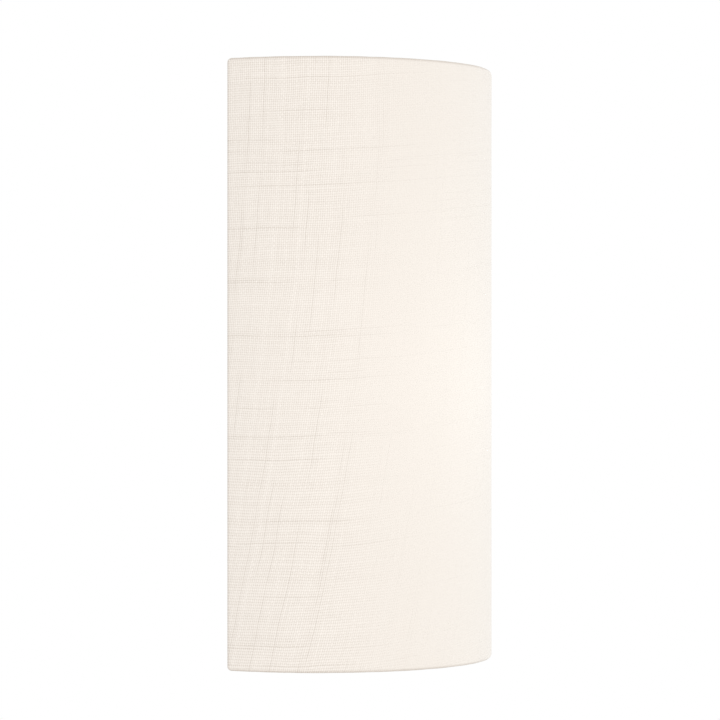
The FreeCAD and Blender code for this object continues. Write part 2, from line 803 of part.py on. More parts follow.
def driver_parts():
    """Capacitor, choke and chip on the driver board."""
    board_front = lamp_axis_y - driver_thick / 2
    board_rear = lamp_axis_y + driver_thick / 2
    capacitor = rod(capacitor_foot + Y * (board_front - capacitor_r), Z,
                    capacitor_r, capacitor_height)
    choke = rod(choke_foot + Y * (board_rear + choke_r), Z, choke_r, choke_height)
    chip = block(chip_low.x, chip_high.x, board_rear, board_rear + chip_thick,
                 chip_low.z, chip_high.z)
    return Part.makeCompound([capacitor, choke, chip])


# --- wiring -----------------------------------------------------------------------------------
pole_zs = [block_z + block_pitch, block_z, block_z - block_pitch]
tower_xs = [block_x - 5.0, block_x + 5.0]
tower_r = 3.6
tower_well_r = 2.1
pole_end_wall = 1.5
pole_mouth_r = 2.3
tube_outer_r = 2.8
tube_inner_r = 1.9
tube_end_gap = 0.1
tube_side_gap = 0.05
block_grub_length = 5.2


def terminal_block():
    """Three-pole strip with a screw tower over each end of each pole."""
    half = block_width / 2
    reach = block_pitch * 1.5
    deck = block(block_x - half, block_x + half, block_deck_y, plate_front_y,
                 block_z - reach, block_z + reach)
    towers = []
    wells = []
    for z in pole_zs:
        for x in tower_xs:
            towers.append(rod(Vector(x, block_tower_y, z), Y, tower_r,
                              block_deck_y - block_tower_y + cut_spare))
            wells.append(rod(Vector(x, block_tower_y - cut_spare, z), Y, tower_well_r,
                             tube_axis_y - block_tower_y))
        wells.append(rod(Vector(block_x - half + pole_end_wall, tube_axis_y, z), X,
                         tube_outer_r, block_width - 2 * pole_end_wall))
        wells.append(rod(Vector(block_x - half - cut_spare, tube_axis_y, z), X,
                         pole_mouth_r, block_width + 2 * cut_spare))
    for z in block_screw_z:
        wells.append(rod(Vector(block_x, block_deck_y - cut_spare, z), Y, m3_clear_r,
                         plate_front_y - block_deck_y + 2 * cut_spare))
    return without(fused([deck] + towers), wells)


def terminal_tubes():
    """Brass tube of each pole, threaded for its two screws."""
    end = pole_end_wall + tube_end_gap
    tubes = []
    for z in pole_zs:
        start = Vector(block_x - block_width / 2 + end, tube_axis_y, z)
        tube = pipe(start, X, tube_outer_r - tube_side_gap, tube_inner_r, block_width - 2 * end)
        threads = [rod(Vector(x, tube_axis_y - tube_outer_r - cut_spare, z), Y, m3_r,
                       tube_outer_r + cut_spare) for x in tower_xs]
        tubes.append(without(tube, threads))
    return Part.makeCompound(tubes)


def terminal_screws():
    """The room-side row bears on the wires inside; the other row waits for the supply."""
    screws = []
    for z in pole_zs:
        for x in tower_xs:
            tip = Vector(x, tube_axis_y - wire_r, z)
            screws.append(grub_screw(tip, -Y, m3_r, block_grub_length))
    return Part.makeCompound(screws)


def block_screws():
    return Part.makeCompound([
        pan_screw(Vector(block_x, block_deck_y, z), Y, m3_r, -block_deck_y - screw_end_gap,
                  m3_head_r, m3_head_height) for z in block_screw_z])


def cable_grommet():
    """Soft bush in the pressed-out entry; its rear flange stays inside the recess."""
    rear = -emboss_depth + grommet_flange
    front = -(emboss_depth + plate_sheet + grommet_flange)
    length = rear - front
    place = Vector(block_x, front, grommet_z)
    body = fused([rod(place, Y, grommet_hole_r, length),
                  rod(place, Y, grommet_flange_r, grommet_flange),
                  rod(place + Y * (length - grommet_flange), Y, grommet_flange_r, grommet_flange)])
    outer_rims = [edge for edge in body.Edges
                  if edge.Curve.TypeId == "Part::GeomCircle"
                  and abs(edge.Curve.Radius - grommet_flange_r) < 1e-6]
    body = body.makeFillet(grommet_round, outer_rims)
    return body.cut(rod(place, Y, grommet_bore_r, length))


tag_sheet = 0.8
tag_ring_r = 4.2
tag_neck_half = 1.8
tag_barrel_x = block_x + 6.5
tag_barrel_length = 6.5
tag_barrel_wall = 0.6
tag_barrel_y = -3.3
tag_stop_x = block_x + 7.5
earth_washer_r = 4.4
earth_washer_thick = 0.8
earth_clear_r = 2.1


def earth_tag():
    """Ring under the earth screw with a barrel crimped on the wire."""
    seat = Vector(block_x, plate_front_y - tag_sheet, earth_z)
    low = earth_z - tag_neck_half
    high = earth_z + tag_neck_half
    ring = rod(seat, Y, tag_ring_r, tag_sheet)
    neck = block(block_x, tag_stop_x, plate_front_y - tag_sheet, plate_front_y, low, high)
    web = block(tag_barrel_x, tag_stop_x, tag_barrel_y, plate_front_y, low, high)
    barrel = rod(Vector(tag_barrel_x, tag_barrel_y, earth_z), X,
                 wire_r + tag_barrel_wall, tag_barrel_length)
    screw_hole = rod(seat - Y * cut_spare, Y, earth_clear_r, tag_sheet + 2 * cut_spare)
    wire_hole = rod(Vector(tag_stop_x, tag_barrel_y, earth_z), X, wire_r,
                    tag_barrel_length + cut_spare)
    return without(fused([ring, neck, web, barrel]), [screw_hole, wire_hole])


def earth_washer():
    seat = Vector(block_x, plate_front_y - tag_sheet - earth_washer_thick, earth_z)
    return pipe(seat, Y, earth_washer_r, earth_clear_r, earth_washer_thick)


def earth_screw():
    seat_y = plate_front_y - tag_sheet - earth_washer_thick
    return pan_screw(Vector(block_x, seat_y, earth_z), Y, m4_r, -seat_y - screw_end_gap,
                     m4_head_r, m4_head_height)


# Points that the wires' runs turn at, between the block, the lampholder and the earth screw.
wire_start_x = block_x + 3.0
wire_bend_y = -12.0
live_corner_x = -9.0
neutral_corner_x = 6.0
earth_corner_x = -21.0
earth_drop = Vector(-20.5, -6.0, -86.0)
earth_turn_x = -20.0
terminal_stop = 4.0


def lamp_wire(pole_z, side, corner_x):
    """From a pole of the block, down in front of the bracket's foot and into the lampholder."""
    return cable([Vector(wire_start_x, tube_axis_y, pole_z),
                  Vector(corner_x, tube_axis_y, pole_z),
                  Vector(side * terminal_x, wire_bend_y, terminal_z),
                  Vector(side * terminal_x, terminal_near_y - terminal_stop, terminal_z)], wire_r)


def earth_wire():
    """From the lowest pole down to the barrel of the earth tag."""
    return cable([Vector(wire_start_x, tube_axis_y, pole_zs[2]),
                  Vector(earth_corner_x, tube_axis_y, pole_zs[2]),
                  earth_drop,
                  Vector(earth_turn_x, tag_barrel_y, earth_z),
                  Vector(tag_stop_x + wire_clearance, tag_barrel_y, earth_z)], wire_r)


# --- the whole light --------------------------------------------------------------------------
def all_parts():
    top = d_ring()
    bottom = mirrored_z(top)
    upper_strap = strap()
    lower_strap = mirrored_z(upper_strap)
    upper_screw = thumb_screw()
    upper_ring = retaining_ring()
    upper_pillar = pillar()
    washer = strap_washer()
    return {
        "shade_fabric": fabric([top, bottom, upper_strap, lower_strap]),
        "shade_liner": liner(),
        "top_ring": top,
        "bottom_ring": bottom,
        "left_upright": upright(-1, [top, bottom]),
        "right_upright": upright(1, [top, bottom]),
        "upper_strap": upper_strap,
        "lower_strap": lower_strap,
        "strap_washers": Part.makeCompound([washer, mirrored_z(washer)]),
        "upper_thumb_screw": upper_screw,
        "lower_thumb_screw": mirrored_z(upper_screw),
        "upper_retaining_ring": upper_ring,
        "lower_retaining_ring": mirrored_z(upper_ring),
        "back_plate": back_plate(),
        "upper_pillar": upper_pillar,
        "lower_pillar": mirrored_z(upper_pillar),
        "lamp_bracket": lamp_bracket(),
        "bracket_screws": bracket_screws(),
        "holder_screws": holder_screws(),
        "lampholder_base": lampholder_base(),
        "lampholder_core": lampholder_core(),
        "lampholder_shell": lampholder_shell(),
        "screw_sleeve": screw_sleeve(),
        "centre_contact": centre_contact(),
        "side_contact": side_contact(),
        "holder_terminals": holder_terminals(),
        "holder_terminal_screws": holder_terminal_screws(),
        "bulb_globe": bulb_globe(),
        "bulb_housing": bulb_housing(),
        "bulb_cap": bulb_cap(),
        "cap_insulator": cap_insulator(),
        "cap_contact": cap_contact(),
        "led_board": led_board(),
        "led_chips": led_chips(),
        "driver_board": driver_board(),
        "driver_parts": driver_parts(),
        "terminal_block": terminal_block(),
        "terminal_tubes": terminal_tubes(),
        "terminal_screws": terminal_screws(),
        "block_screws": block_screws(),
        "cable_grommet": cable_grommet(),
        "earth_tag": earth_tag(),
        "earth_washer": earth_washer(),
        "earth_screw": earth_screw(),
        "live_wire": lamp_wire(pole_zs[1], -1, live_corner_x),
        "neutral_wire": lamp_wire(pole_zs[0], 1, neutral_corner_x),
        "earth_wire": earth_wire(),
    }


for name, shape in all_parts().items():
    box = shape.BoundBox
    print("%-24s %-9s solids %d valid %s volume %9.1f  x %.1f..%.1f y %.1f..%.1f z %.1f..%.1f" % (
        name, shape.ShapeType, len(shape.Solids), shape.isValid(), shape.Volume,
        box.XMin, box.XMax, box.YMin, box.YMax, box.ZMin, box.ZMax))
    shape.exportStep("parts/%s.step" % name)
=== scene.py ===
import json
import math

import bpy
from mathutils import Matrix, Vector, noise


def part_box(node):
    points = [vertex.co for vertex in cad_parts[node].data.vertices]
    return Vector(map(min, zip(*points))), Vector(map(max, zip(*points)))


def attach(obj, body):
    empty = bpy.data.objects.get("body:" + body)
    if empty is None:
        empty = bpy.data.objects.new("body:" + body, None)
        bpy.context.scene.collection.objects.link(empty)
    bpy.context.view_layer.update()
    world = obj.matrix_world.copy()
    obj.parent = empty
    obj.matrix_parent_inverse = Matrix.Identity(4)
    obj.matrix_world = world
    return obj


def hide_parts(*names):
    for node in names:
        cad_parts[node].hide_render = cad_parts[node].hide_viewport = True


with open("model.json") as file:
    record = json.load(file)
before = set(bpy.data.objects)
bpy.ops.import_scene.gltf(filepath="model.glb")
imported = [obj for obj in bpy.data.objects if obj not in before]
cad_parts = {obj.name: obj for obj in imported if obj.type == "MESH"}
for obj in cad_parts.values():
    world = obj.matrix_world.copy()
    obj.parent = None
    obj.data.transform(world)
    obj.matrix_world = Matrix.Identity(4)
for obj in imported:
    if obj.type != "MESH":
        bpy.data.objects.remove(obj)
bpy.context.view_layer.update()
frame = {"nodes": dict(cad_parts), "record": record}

MM = 0.001
NODES = frame["nodes"]
X = Vector((1, 0, 0))
Y = Vector((0, 1, 0))
Z = Vector((0, 0, 1))

# --- sizes, from the frame --------------------------------------------------------------------
fabric_low, fabric_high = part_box("shade_fabric")
ring_low, ring_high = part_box("top_ring")
CLOTH_THICK = 0.5 * MM
SHADE_R = fabric_high.x
SHADE_TOP = fabric_high.z
WIRE_R = (ring_high.z - ring_low.z) / 2
HEM_R = WIRE_R + CLOTH_THICK
FRAME_R = SHADE_R - HEM_R
SHADE_AXIS = Vector((0, fabric_high.y - HEM_R, 0))
RING_Z = SHADE_TOP - HEM_R

globe_low, globe_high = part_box("bulb_globe")
LAMP_AXIS = Vector((0, (globe_low.y + globe_high.y) / 2, 0))

# --- the photograph's view --------------------------------------------------------------------
VIEW_AZIMUTH = math.radians(-59.8)
CAMERA_DISTANCE = 1.6255
AIM_RIGHT = 20.62 * MM
LENS_MM = 158.3
HORIZON_SHIFT = 0.0062

# --- the studio -------------------------------------------------------------------------------
SOFTBOX_SIZE = 1.6
SOFTBOX_DISTANCE = 2.4
SOFTBOX_ELEVATION = 4.0
ROOM_AZIMUTH = -45.0
ROOM_POWER = 10.0
ROOM_COLOUR = (1.0, 0.985, 0.96)
WINDOW_AZIMUTH = 55.0
WINDOW_POWER = 9.0
WINDOW_COLOUR = (0.76, 0.91, 1.0)
LAMP_POWER = 0.2
LAMP_COLOUR = (1.0, 0.86, 0.66)
FLOOR_Z = -0.9
FLOOR_R = 4.0
AMBIENT = 0.915


# --- small tools ------------------------------------------------------------------------------
def deselect():
    if bpy.context.mode != "OBJECT":
        bpy.ops.object.mode_set(mode="OBJECT")
    bpy.ops.object.select_all(action="DESELECT")


def take(obj):
    deselect()
    obj.select_set(True)
    bpy.context.view_layer.objects.active = obj


def new_object(name, verts, faces):
    mesh = bpy.data.meshes.new(name)
    mesh.from_pydata([tuple(v) for v in verts], [], faces)
    mesh.update()
    obj = bpy.data.objects.new(name, mesh)
    bpy.context.scene.collection.objects.link(obj)
    return obj


def apply_modifier(obj, kind, **settings):
    take(obj)
    modifier = obj.modifiers.new(kind, kind)
    for key, value in settings.items():
        setattr(modifier, key, value)
    bpy.ops.object.modifier_apply(modifier=modifier.name)


def smooth(obj, degrees=35.0):
    take(obj)
    bpy.ops.object.shade_smooth_by_angle(angle=math.radians(degrees))


def place_in_mesh(obj):
    take(obj)
    bpy.ops.object.transform_apply(location=True, rotation=True, scale=True)


def finish_piece(obj, material, body, replaces=()):
    obj.data.materials.clear()
    obj.data.materials.append(material)
    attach(obj, body)
    if replaces:
        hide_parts(*replaces)


# --- node wiring ------------------------------------------------------------------------------
class Wiring:
    """Short words for putting shader nodes into one tree."""

    def __init__(self, tree):
        self.tree = tree

    def put(self, kind, inputs=None, **settings):
        made = self.tree.nodes.new("ShaderNode" + kind)
        for key, value in settings.items():
            setattr(made, key, value)
        for key, value in (inputs or {}).items():
            self.feed(made.inputs[key], value)
        return made

    def feed(self, socket, value):
        if isinstance(value, bpy.types.NodeSocket):
            self.tree.links.new(value, socket)
        else:
            socket.default_value = value

    def math(self, operation, *values, clamp=False):
        made = self.tree.nodes.new("ShaderNodeMath")
        made.operation = operation
        made.use_clamp = clamp
        for socket, value in zip(made.inputs, values):
            self.feed(socket, value)
        return made.outputs[0]

    def ramp(self, value, low, high, start=0.0, end=1.0):
        """Smooth step from start at low to end at high."""
        made = self.put("MapRange", {0: value, 1: low, 2: high, 3: start, 4: end},
                        interpolation_type="SMOOTHSTEP")
        return made.outputs[0]

    def mix(self, share, first, second, blend="MIX"):
        made = self.put("Mix", data_type="RGBA", blend_type=blend)
        self.feed(made.inputs[0], share)
        self.feed(made.inputs[6], first)
        self.feed(made.inputs[7], second)
        return made.outputs[2]

    def noise(self, vector, scale, detail=2.0, rough=0.5):
        made = self.put("TexNoise", {"Vector": vector, "Scale": scale, "Detail": detail,
                                     "Roughness": rough})
        return made.outputs["Fac"]

    def random(self, value, seed):
        """One number from 0 to 1 for each whole number."""
        made = self.put("TexWhiteNoise", noise_dimensions="2D")
        pair = self.put("CombineXYZ", {0: value, 1: seed})
        self.feed(made.inputs["Vector"], pair.outputs[0])
        return made.outputs["Value"]

    def split(self, vector):
        return self.put("SeparateXYZ", {0: vector}).outputs

    def join(self, x, y, z=0.0):
        return self.put("CombineXYZ", {0: x, 1: y, 2: z}).outputs[0]


def node_group(name, sockets_in, sockets_out):
    """A shader group with named number sockets. Each input comes with its usual value."""
    tree = bpy.data.node_groups.new(name, "ShaderNodeTree")
    for label, usual in sockets_in:
        made = tree.interface.new_socket(label, in_out="INPUT", socket_type="NodeSocketFloat")
        made.default_value = usual
    for label in sockets_out:
        tree.interface.new_socket(label, in_out="OUTPUT", socket_type="NodeSocketFloat")
    start = tree.nodes.new("NodeGroupInput")
    end = tree.nodes.new("NodeGroupOutput")
    return tree, Wiring(tree), start.outputs, end.inputs


def new_material(name):
    material = bpy.data.materials.new(name)
    material.use_nodes = True
    tree = material.node_tree
    tree.nodes.clear()
    wiring = Wiring(tree)
    shader = wiring.put("BsdfPrincipled")
    output = wiring.put("OutputMaterial")
    tree.links.new(shader.outputs[0], output.inputs[0])
    return material, wiring, shader


def use_group(wiring, group, **inputs):
    made = wiring.put("Group")
    made.node_tree = group
    for key, value in inputs.items():
        wiring.feed(made.inputs[key], value)
    return made.outputs


def bump(wiring, height, distance, strength=1.0):
    made = wiring.put("Bump", {"Strength": strength, "Distance": distance, "Height": height})
    return made.outputs[0]


# --- shared effects ---------------------------------------------------------------------------
# Linen threads. Widths are shares of the pitch, lengths are millimetres of cloth.
SWAY = 2.0
SWAY_SCALE = 0.035
DRIFT_SCALE = 0.03
THREAD_HALF = 0.25
THREAD_HALF_BY_CHANCE = 0.08
THREAD_HALF_BY_SLUB = 0.22
EDGE_INSIDE = 0.10
EDGE_OUTSIDE = 0.06
SLUB_SCALE = 0.16
SLIT_SCALE = 0.02
SLIT_RARITY = 0.84
SLIT_CORE = 0.24
SLIT_WIDTH = 0.40
SLIT_DEPTH = 0.4
TONE_BY_CHANCE = 0.5
TONE_BY_SLUB = 0.9
UPRIGHT_HEIGHT = 0.6
LEVEL_HEIGHT = 0.5
CRIMP = 0.4


def make_weave_group():
    """Plain linen weave. The sheet's place comes in as millimetres across and up.

    The upright threads lean to the right towards the top, and the level threads climb across the
    shade's face, as cloth that was wrapped a little off its grain.
    """
    tree, w, given, result = node_group(
        "linen_weave",
        [("Across", 0.0), ("Up", 0.0), ("Upright pitch", 1.05), ("Level pitch", 1.14),
         ("Lean", 0.135), ("Lean change", 0.00075), ("Climb start", 22.0),
         ("Climb length", 68.0), ("Climb rate", 0.0014), ("Coarse below", -40.0),
         ("Coarseness", 0.16)],
        ["Height", "Gap", "Tone", "Slit"])
    across, up = given["Across"], given["Up"]
    low = w.math("MAXIMUM", 0.0, w.math("SUBTRACT", given["Coarse below"], up))
    counted_up = w.math("ADD", up, w.math("MULTIPLY", low, given["Coarseness"]))

    shift = w.math("SUBTRACT", w.math("MULTIPLY", up, given["Lean"]),
                   w.math("MULTIPLY", w.math("MULTIPLY", up, up),
                          w.math("MULTIPLY", given["Lean change"], 0.5)))
    past = w.math("MAXIMUM", w.math("SUBTRACT", across, given["Climb start"]), 0.0)
    bent = w.math("MINIMUM", past, given["Climb length"])
    beyond = w.math("SUBTRACT", past, bent)
    climb = w.math("MULTIPLY", given["Climb rate"],
                   w.math("ADD", w.math("MULTIPLY", w.math("MULTIPLY", bent, bent), 0.5),
                          w.math("MULTIPLY", given["Climb length"], beyond)))
    place = w.join(across, up)
    sway = w.math("SUBTRACT", w.noise(place, SWAY_SCALE, 1.0), 0.5)
    drift = w.math("SUBTRACT", w.noise(w.join(up, across, 7.0), DRIFT_SCALE, 1.0), 0.5)
    upright = w.math("DIVIDE", w.math("ADD", w.math("SUBTRACT", across, shift),
                                      w.math("MULTIPLY", sway, SWAY)), given["Upright pitch"])
    level = w.math("DIVIDE", w.math("ADD", w.math("SUBTRACT", counted_up, climb),
                                    w.math("MULTIPLY", drift, SWAY)), given["Level pitch"])

    def threads(count, along, seed):
        """Number, body, crown height, open slits and tone for one set of threads.

        A slub is a thick stretch of one thread, and a slit a long open line beside it.
        """
        index = w.math("FLOOR", count)
        part = w.math("FRACT", count)
        off = w.math("ABSOLUTE", w.math("SUBTRACT", part, 0.5))
        chance = w.random(index, seed)
        slub = w.noise(w.join(w.math("MULTIPLY", along, SLUB_SCALE),
                              w.math("MULTIPLY", index, 3.7), seed), 1.0, 2.0)
        half = w.math("ADD", w.math("MULTIPLY", chance, THREAD_HALF_BY_CHANCE),
                      w.math("ADD", THREAD_HALF, w.math("MULTIPLY", slub, THREAD_HALF_BY_SLUB)))
        body = w.ramp(off, w.math("SUBTRACT", half, EDGE_INSIDE),
                      w.math("ADD", half, EDGE_OUTSIDE), 1.0, 0.0)
        run = w.noise(w.join(w.math("MULTIPLY", along, SLIT_SCALE),
                             w.math("MULTIPLY", index, 1.9), seed + 4.0), 1.0, 1.0)
        rare = w.math("GREATER_THAN", w.random(index, seed + 9.0), SLIT_RARITY)
        slit = w.math("MULTIPLY", rare, w.ramp(run, 0.46, 0.58))
        slit = w.math("MULTIPLY", slit, w.ramp(part, SLIT_CORE, SLIT_WIDTH, 1.0, 0.0))
        tone = w.math("ADD", w.math("MULTIPLY", w.math("SUBTRACT", chance, 0.5), TONE_BY_CHANCE),
                      w.math("MULTIPLY", w.math("SUBTRACT", slub, 0.5), TONE_BY_SLUB))
        crown = w.math("SQRT", w.math("MAXIMUM", 0.0, w.math("SUBTRACT", 1.0, w.math(
            "POWER", w.math("DIVIDE", off, w.math("ADD", half, 0.04)), 2.0))))
        return index, body, crown, slit, tone

    warp_index, warp_body, warp_crown, warp_slit, warp_tone = threads(upright, up, 1.0)
    weft_index, weft_body, weft_crown, weft_slit, weft_tone = threads(level, across, 2.0)

    # Plain weave: each thread goes over and under its neighbours in turn.
    over = w.math("COSINE", w.math("MULTIPLY", math.pi, w.math(
        "ADD", warp_index, w.math("SUBTRACT", level, 0.5))))
    under = w.math("COSINE", w.math("MULTIPLY", math.pi, w.math(
        "ADD", w.math("ADD", weft_index, 1.0), w.math("SUBTRACT", upright, 0.5))))
    warp_high = w.math("MULTIPLY", w.math("MULTIPLY", warp_body, warp_crown),
                       w.math("ADD", UPRIGHT_HEIGHT, w.math("MULTIPLY", over, CRIMP)))
    weft_high = w.math("MULTIPLY", w.math("MULTIPLY", weft_body, weft_crown),
                       w.math("ADD", LEVEL_HEIGHT, w.math("MULTIPLY", under, CRIMP)))
    height = w.math("MAXIMUM", warp_high, weft_high)
    slit = w.math("MAXIMUM", warp_slit, weft_slit)
    gap = w.math("SUBTRACT", 1.0, height)
    mostly_warp = w.math("GREATER_THAN", warp_high, weft_high)
    tone = w.math("ADD", w.math("MULTIPLY", warp_tone, mostly_warp),
                  w.math("MULTIPLY", weft_tone, w.math("SUBTRACT", 1.0, mostly_warp)))
    w.feed(result["Height"], w.math("SUBTRACT", height, w.math("MULTIPLY", slit, SLIT_DEPTH)))
    w.feed(result["Gap"], gap)
    w.feed(result["Tone"], tone)
    w.feed(result["Slit"], slit)
    return tree


def make_grain_group():
    """Fine unevenness for coated, moulded and plated surfaces: tone, roughness and height."""
    tree, w, given, result = node_group(
        "fine_grain", [("Scale", 900.0), ("Cloud", 25.0)], ["Tone", "Roughness", "Height"])
    place = w.put("TexCoord").outputs["Object"]
    fine = w.noise(place, given["Scale"], 3.0, 0.6)
    cloud = w.noise(place, given["Cloud"], 3.0, 0.55)
    w.feed(result["Tone"], w.math("SUBTRACT", cloud, 0.5))
    w.feed(result["Roughness"], w.math("SUBTRACT", w.math("ADD", w.math("MULTIPLY", fine, 0.4),
                                                          w.math("MULTIPLY", cloud, 0.6)), 0.5))
    w.feed(result["Height"], fine)
    return tree


def make_scratch_group():
    """Thin handling marks in all directions, for bare and plated metal."""
    tree, w, given, result = node_group(
        "handling_marks", [("Scale", 160.0)], ["Mask"])
    place = w.put("TexCoord").outputs["Object"]
    masks = []
    for turn in (0.4, 1.7, 2.6):
        turned = w.put("Mapping", {"Vector": place, "Rotation": (turn, turn * 0.7, turn * 1.3),
                                   "Scale": (1.0, 0.06, 1.0)}).outputs[0]
        line = w.noise(turned, given["Scale"], 2.0, 0.6)
        masks.append(w.ramp(w.math("ABSOLUTE", w.math("SUBTRACT", line, 0.5)), 0.0, 0.012, 1.0, 0.0))
    both = w.math("MAXIMUM", w.math("MAXIMUM", masks[0], masks[1]), masks[2])
    patch = w.ramp(w.noise(place, given["Scale"], 1.0), 0.45, 0.7)
    w.feed(result["Mask"], w.math("MULTIPLY", both, patch))
    return tree


def make_dust_group():
    """Pale dust that settles on faces turned upwards."""
    tree, w, given, result = node_group(
        "settled_dust", [("Amount", 0.25)], ["Mask"])
    coords = w.put("TexCoord").outputs
    facing = w.split(coords["Normal"])[2]
    patch = w.ramp(w.noise(coords["Object"], 60.0, 4.0, 0.65), 0.35, 0.7)
    w.feed(result["Mask"], w.math("MULTIPLY", w.math("MULTIPLY", w.ramp(facing, 0.5, 0.95), patch),
                                  given["Amount"]))
    return tree


WEAVE = make_weave_group()
GRAIN = make_grain_group()
MARKS = make_scratch_group()
DUST = make_dust_group()


# --- materials --------------------------------------------------------------------------------
NO_LIGHT = (0.0, 0.0, 0.0, 1.0)
WARM_LIGHT = (1.0, 0.93, 0.80, 1.0)
CLOTH_LIGHT = (1.0, 0.985, 0.94, 1.0)
GLOW_CENTRE = LAMP_AXIS - Z * 6 * MM
GLOW_FLATTEN = (1.0, 1.0, 0.72)

LINEN_LIGHT = (0.93, 0.873, 0.813, 1.0)
LINEN_GAP = (0.56, 0.49, 0.42, 1.0)
AVERAGE_GAP = 0.24
GAP_SHADE = 0.64
TONE_SHADE = 0.15
SLIT_SHADE = 0.23
CLOUD_SHADE = 0.05
HEM_PAINTED_SHADE = 0.42
CLEAR_AT_SIDE = 1.0
CLEAR_AT_FRONT = 0.14
CLEAR_LEAST = 0.05
CLEAR_LOST_IN_GLOW = 0.5


def glow_mask(w, place):
    """How much lamp light comes through the shade at a place, 1 straight in front of the lamp."""
    away = w.put("VectorMath", {0: place, 1: tuple(GLOW_CENTRE)}, operation="SUBTRACT").outputs[0]
    flat = w.put("VectorMath", {0: away, 1: GLOW_FLATTEN}, operation="MULTIPLY").outputs[0]
    distance = w.put("VectorMath", {0: flat}, operation="LENGTH").outputs["Value"]
    nearest = abs(fabric_low.y - LAMP_AXIS.y)
    return w.math("POWER", w.math("DIVIDE", nearest, w.math("MAXIMUM", distance, nearest)), 2.0)


def linen_material():
    """Linen whose weave shows at the shade's sides and fades at its lit front, as the lamp fills it."""
    material, w, shader = new_material("linen_shade_cloth")
    sheet = w.split(w.put("UVMap", uv_map="cloth").outputs[0])
    across = w.math("MULTIPLY", sheet[0], 1000.0)
    up = w.math("MULTIPLY", sheet[1], 1000.0)
    weave = use_group(w, WEAVE, Across=across, Up=up)
    place = w.put("TexCoord").outputs["Object"]
    glow = glow_mask(w, place)
    height = w.math("ABSOLUTE", w.split(place)[2])
    # Painted shade: where the cloth turns over the wires it is drawn darker and its painted glow is cut, as
    # if the wire and fold shadowed it.
    on_wire = w.ramp(height, RING_Z + HEM_R * 0.2, RING_Z + HEM_R * 0.9)
    depth = w.split(place)[1]
    behind = w.ramp(depth, SHADE_AXIS.y - HEM_R * 0.1, SHADE_AXIS.y + HEM_R * 0.8)
    hem_shadow = w.math("MAXIMUM", on_wire, behind)
    # Painted light: the weave's dark gaps fade towards the shade's front and in the lamp's glow, as if light
    # washed them out.
    room_side = w.math("DIVIDE", w.math("SUBTRACT", SHADE_AXIS.y, depth), SHADE_R)
    clear = w.math("SUBTRACT", w.ramp(room_side, 0.46, 0.98, CLEAR_AT_SIDE, CLEAR_AT_FRONT),
                   w.math("MULTIPLY", glow, CLEAR_LOST_IN_GLOW))
    clear = w.math("MAXIMUM", clear, CLEAR_LEAST)
    cloud = w.noise(w.join(across, up), 0.02, 3.0, 0.55)
    # The gaps and open slits between threads are drawn darker: partly the weave's own look, partly painted
    # shade in the hollows between the threads.
    shade = w.math("SUBTRACT", w.math("MULTIPLY", weave["Gap"], GAP_SHADE),
                   w.math("MULTIPLY", weave["Tone"], TONE_SHADE))
    shade = w.math("ADD", shade, w.math("MULTIPLY", weave["Slit"], SLIT_SHADE))
    shade = w.math("ADD", AVERAGE_GAP, w.math("MULTIPLY", clear,
                                              w.math("SUBTRACT", shade, AVERAGE_GAP)))
    shade = w.math("ADD", shade, w.math("MULTIPLY", w.math("SUBTRACT", 0.55, cloud), CLOUD_SHADE))
    shade = w.math("ADD", shade, w.math("MULTIPLY", hem_shadow, HEM_PAINTED_SHADE), clamp=True)
    w.feed(shader.inputs["Base Color"], w.mix(shade, LINEN_LIGHT, LINEN_GAP))
    w.feed(shader.inputs["Roughness"], w.ramp(weave["Gap"], 0.0, 1.0, 0.82, 0.95))
    shader.inputs["Specular IOR Level"].default_value = 0.25
    shader.inputs["Sheen Weight"].default_value = 0.16
    shader.inputs["Sheen Roughness"].default_value = 0.45
    # Painted lamp light: the cloth itself glows by emission, strongest straight in front of the lamp.
    lit = w.math("MULTIPLY", glow, w.math("SUBTRACT", 1.0, hem_shadow))
    w.feed(shader.inputs["Emission Color"], w.mix(lit, NO_LIGHT, CLOTH_LIGHT))
    shader.inputs["Emission Strength"].default_value = 0.079
    w.feed(shader.inputs["Normal"], bump(w, weave["Height"], 0.12 * MM, 0.6))
    return material


def liner_material():
    material, w, shader = new_material("shade_liner_sheet")
    place = w.put("TexCoord").outputs["Object"]
    grain = use_group(w, GRAIN, Scale=420.0, Cloud=14.0)
    tone = w.math("ADD", 0.5, w.math("MULTIPLY", grain["Tone"], 0.5))
    w.feed(shader.inputs["Base Color"], w.mix(tone, (0.86, 0.84, 0.79, 1.0), (0.80, 0.77, 0.71, 1.0)))
    w.feed(shader.inputs["Roughness"], w.math("ADD", 0.46, w.math("MULTIPLY", grain["Roughness"], 0.2)))
    w.feed(shader.inputs["Normal"], bump(w, grain["Height"], 0.05 * MM, 0.3))
    # Painted lamp light: the liner glows warm by emission where it is nearest the lamp.
    w.feed(shader.inputs["Emission Color"], w.mix(glow_mask(w, place), NO_LIGHT, WARM_LIGHT))
    shader.inputs["Emission Strength"].default_value = 0.06
    return material


def coated_steel(name, colour, worn):
    """White powder coat with a fine orange-peel skin and a little settled dust."""
    material, w, shader = new_material(name)
    grain = use_group(w, GRAIN, Scale=1500.0, Cloud=18.0)
    dust = use_group(w, DUST, Amount=0.18)["Mask"]
    tone = w.math("ADD", 0.5, w.math("MULTIPLY", grain["Tone"], 0.8), clamp=True)
    paint = w.mix(tone, colour, worn)
    w.feed(shader.inputs["Base Color"], w.mix(dust, paint, (0.62, 0.59, 0.54, 1.0)))
    w.feed(shader.inputs["Roughness"], w.math("ADD", w.math("ADD", 0.38, w.math(
        "MULTIPLY", grain["Roughness"], 0.25)), w.math("MULTIPLY", dust, 0.4)))
    w.feed(shader.inputs["Normal"], bump(w, grain["Height"], 0.06 * MM, 0.45))
    return material


